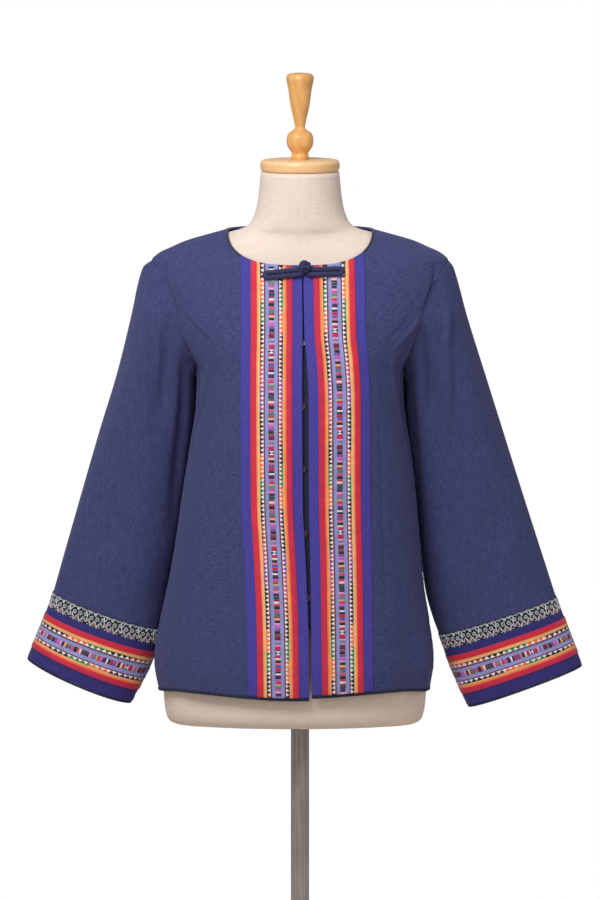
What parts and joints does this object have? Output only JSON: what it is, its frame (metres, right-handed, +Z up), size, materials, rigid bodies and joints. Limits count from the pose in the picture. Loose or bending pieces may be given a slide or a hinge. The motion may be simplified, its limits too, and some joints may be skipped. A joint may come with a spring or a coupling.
{
  "type": "embroidered jacket on a dress form",
  "caption": "Hip-length navy jacket with embroidered front bands and cuffs, corded neck fastening and wide sleeves, on a limbless linen dress form with a pole stand.",
  "frame": {"origin": "on the floor under the middle of the whole part, 6 mm to the wearer's left of the pole", "axes": "+Z up, -Y to the jacket's front, +X to the wearer's left"},
  "size_m": [0.742, 0.34, 1.612],
  "materials": {
    "navy_cloth": "matt slubbed plain weave",
    "violet_strip": "matt plain weave",
    "embroidered_tape": "stitched and pieced in many colours",
    "black_white_trim": "woven black-and-white trim",
    "dark_binding": "matt narrow binding",
    "brown_button": "semi-gloss",
    "linen": "matt natural linen",
    "turned_wood": "satin light wood",
    "dull_steel": "dull brushed"
  },
  "bodies": {
    "root": {"front_right": "navy_cloth", "front_left": "navy_cloth", "back": "navy_cloth", "sleeve_right": "navy_cloth", "sleeve_left": "navy_cloth", "strip_right": "violet_strip", "strip_left": "violet_strip", "tape_right": "embroidered_tape", "tape_left": "embroidered_tape", "placket": "dark_binding", "button_1": "brown_button", "button_2": "brown_button", "button_3": "brown_button", "button_4": "brown_button", "button_5": "brown_button", "neck_binding": "dark_binding", "hem_binding": "dark_binding", "cuff_strip_right": "violet_strip", "cuff_strip_left": "violet_strip", "cuff_tape_right": "embroidered_tape", "cuff_tape_left": "embroidered_tape", "cuff_trim_right": "black_white_trim", "cuff_trim_left": "black_white_trim", "cuff_binding_right": "dark_binding", "cuff_binding_left": "dark_binding", "frog_loop_right": "dark_binding", "frog_loop_left": "dark_binding", "frog_knot": "dark_binding", "form_torso": "linen", "form_cap": "turned_wood", "form_finial": "turned_wood", "stand_pole": "dull_steel", "stand_base": "dull_steel"}
  },
  "joints": []
}
